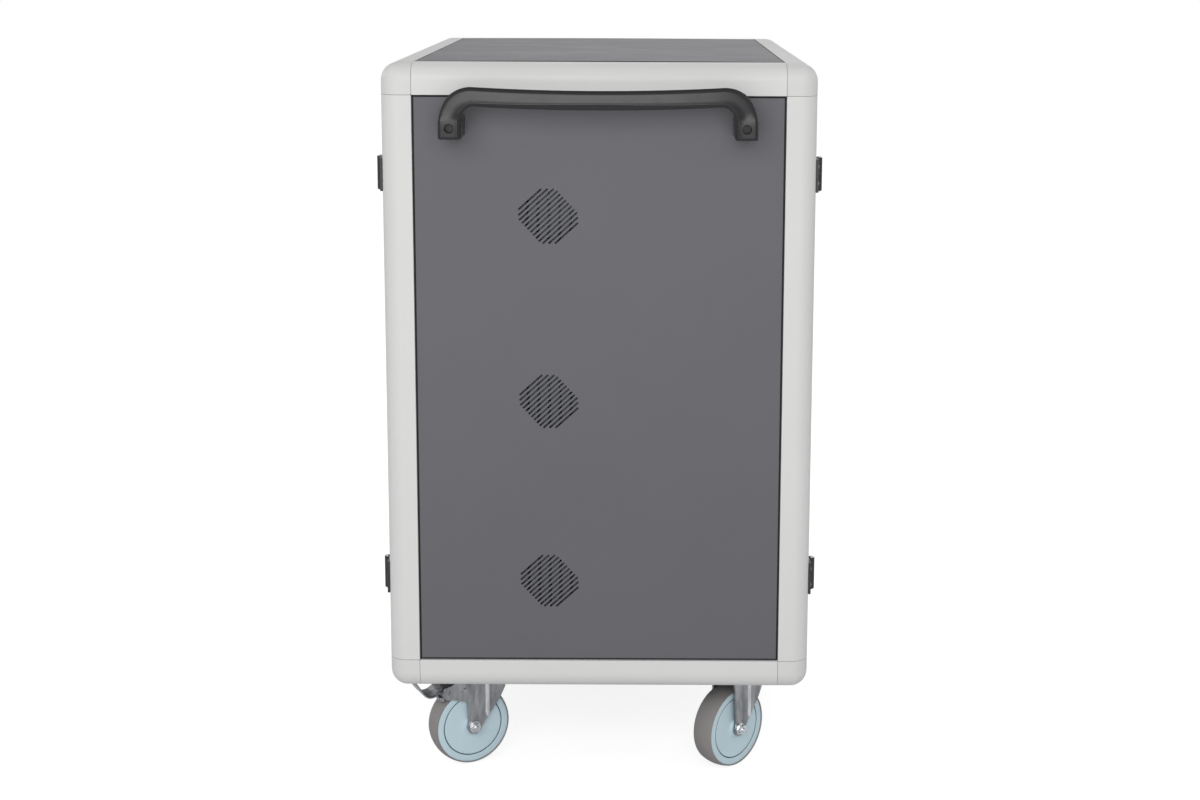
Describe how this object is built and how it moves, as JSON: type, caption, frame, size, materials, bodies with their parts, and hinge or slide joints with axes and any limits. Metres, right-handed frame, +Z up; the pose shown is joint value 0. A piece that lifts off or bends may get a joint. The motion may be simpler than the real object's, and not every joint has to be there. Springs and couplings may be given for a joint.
{
  "type": "laptop charging cart",
  "caption": "Upright charging cart on swivel castors with a rounded profile frame, slotted vents, a bail handle, two side doors and divided laptop shelves.",
  "frame": {"origin": "centre of the whole part's box at floor level, under the cart", "axes": "+Z up from the floor, +Y into the cart from the handle side, +X to the right seen from the handle side, where the charger bay is"},
  "size_m": [0.6556, 0.928, 1.0862],
  "materials": {
    "frame_profile": "satin light grey powder coat",
    "corner_plastic": "satin light grey moulding",
    "spigot_plastic": "matt",
    "panel_sheet": "fine textured dark grey powder coat",
    "base_sheet": "textured dark grey powder coat",
    "seal_rubber": "matt black",
    "liner_sheet": "matt grey",
    "shelf_sheet": "matt grey powder coat",
    "divider_sheet": "satin light grey",
    "strip_plastic": "matt black",
    "inlet_plastic": "matt black",
    "handle_plastic": "fine textured black moulding",
    "screw_black": "black oxide steel",
    "hinge_black": "black powder coat",
    "pin_steel": "bright",
    "lock_black": "black",
    "lever_black": "black",
    "cam_steel": "zinc plated",
    "castor_zinc": "bright zinc plated pressed steel",
    "rim_plastic": "pale blue satin moulding",
    "tyre_rubber": "grey non-marking rubber"
  },
  "bodies": {
    "cart": {"front_left_post": "frame_profile", "front_right_post": "frame_profile", "rear_left_post": "frame_profile", "rear_right_post": "frame_profile", "front_upper_rail": "frame_profile", "rear_upper_rail": "frame_profile", "upper_side_rails": "frame_profile", "front_lower_rail": "frame_profile", "rear_lower_rail": "frame_profile", "lower_side_rails": "frame_profile", "corner_caps": "corner_plastic", "corner_spigots": "spigot_plastic", "top_panel": "panel_sheet", "front_panel": "panel_sheet", "rear_panel": "panel_sheet", "base_panel": "base_sheet", "panel_seals": "seal_rubber", "front_liner": "liner_sheet", "rear_liner": "liner_sheet", "partition": "shelf_sheet", "laptop_shelves": "shelf_sheet", "laptop_dividers": "divider_sheet", "charger_trays": "shelf_sheet", "power_strips": "strip_plastic", "mains_inlet": "inlet_plastic", "push_handle": "handle_plastic", "handle_screws": "screw_black", "hinge_frame_leaves": "hinge_black", "hinge_pins": "pin_steel", "castor_plates": "castor_zinc", "castor_bolts": "castor_zinc"},
    "left_door": {"left_door": "panel_sheet", "left_hinge_leaves": "hinge_black", "left_lock_housing": "lock_black"},
    "left_latch": {"left_lock_lever": "lever_black", "left_lock_cam": "cam_steel"},
    "right_door": {"right_door": "panel_sheet", "right_hinge_leaves": "hinge_black", "right_lock_housing": "lock_black"},
    "right_latch": {"right_lock_lever": "lever_black", "right_lock_cam": "cam_steel"},
    "front_left_swivel": {"front_left_fork": "castor_zinc", "front_left_axle": "castor_zinc"},
    "front_left_wheel": {"front_left_rim": "rim_plastic", "front_left_tyre": "tyre_rubber"},
    "front_left_brake": {"front_left_pedal": "castor_zinc"},
    "rear_left_swivel": {"rear_left_fork": "castor_zinc", "rear_left_axle": "castor_zinc"},
    "rear_left_wheel": {"rear_left_rim": "rim_plastic", "rear_left_tyre": "tyre_rubber"},
    "rear_left_brake": {"rear_left_pedal": "castor_zinc"},
    "front_right_swivel": {"front_right_fork": "castor_zinc", "front_right_axle": "castor_zinc"},
    "front_right_wheel": {"front_right_rim": "rim_plastic", "front_right_tyre": "tyre_rubber"},
    "rear_right_swivel": {"rear_right_fork": "castor_zinc", "rear_right_axle": "castor_zinc"},
    "rear_right_wheel": {"rear_right_rim": "rim_plastic", "rear_right_tyre": "tyre_rubber"}
  },
  "joints": [
    {"name": "left_door_hinge", "type": "hinge", "parent": "cart", "child": "left_door", "pos_m": [-0.316, -0.336, 0.6225], "axis": [0, 0, 1], "range_deg": [0, 120]},
    {"name": "left_latch_turn", "type": "hinge", "parent": "left_door", "child": "left_latch", "pos_m": [-0.3065, 0.376, 0.6225], "axis": [1, 0, 0], "range_deg": [0, 90]},
    {"name": "right_door_hinge", "type": "hinge", "parent": "cart", "child": "right_door", "pos_m": [0.316, -0.336, 0.6225], "axis": [0, 0, -1], "range_deg": [0, 120]},
    {"name": "right_latch_turn", "type": "hinge", "parent": "right_door", "child": "right_latch", "pos_m": [0.3065, 0.376, 0.6225], "axis": [1, 0, 0], "range_deg": [0, 90]},
    {"name": "front_left_swivel_turn", "type": "hinge", "parent": "cart", "child": "front_left_swivel", "pos_m": [-0.176, -0.257, 0.16], "axis": [0, 0, 1], "continuous": true},
    {"name": "front_left_wheel_spin", "type": "hinge", "parent": "front_left_swivel", "child": "front_left_wheel", "pos_m": [-0.20425, -0.27202, 0.0625], "axis": [0.4695, -0.8829, 0], "continuous": true},
    {"name": "front_left_brake_press", "type": "hinge", "parent": "front_left_swivel", "child": "front_left_brake", "pos_m": [-0.24001, -0.29104, 0.123], "axis": [0.4695, -0.8829, 0], "range_deg": [0, 12]},
    {"name": "rear_left_swivel_turn", "type": "hinge", "parent": "cart", "child": "rear_left_swivel", "pos_m": [-0.176, 0.335, 0.16], "axis": [0, 0, 1], "continuous": true},
    {"name": "rear_left_wheel_spin", "type": "hinge", "parent": "rear_left_swivel", "child": "rear_left_wheel", "pos_m": [-0.2073, 0.32835, 0.0625], "axis": [0.2079, -0.9781, 0], "continuous": true},
    {"name": "rear_left_brake_press", "type": "hinge", "parent": "rear_left_swivel", "child": "rear_left_brake", "pos_m": [-0.24692, 0.31993, 0.123], "axis": [0.2079, -0.9781, 0], "range_deg": [0, 12]},
    {"name": "front_right_swivel_turn", "type": "hinge", "parent": "cart", "child": "front_right_swivel", "pos_m": [0.22, -0.257, 0.16], "axis": [0, 0, 1], "continuous": true},
    {"name": "front_right_wheel_spin", "type": "hinge", "parent": "front_right_swivel", "child": "front_right_wheel", "pos_m": [0.19777, -0.28002, 0.0625], "axis": [0.7193, -0.6947, 0], "continuous": true},
    {"name": "rear_right_swivel_turn", "type": "hinge", "parent": "cart", "child": "rear_right_swivel", "pos_m": [0.22, 0.335, 0.16], "axis": [0, 0, 1], "continuous": true},
    {"name": "rear_right_wheel_spin", "type": "hinge", "parent": "rear_right_swivel", "child": "rear_right_wheel", "pos_m": [0.19347, 0.31711, 0.0625], "axis": [0.5592, -0.829, 0], "continuous": true}
  ]
}
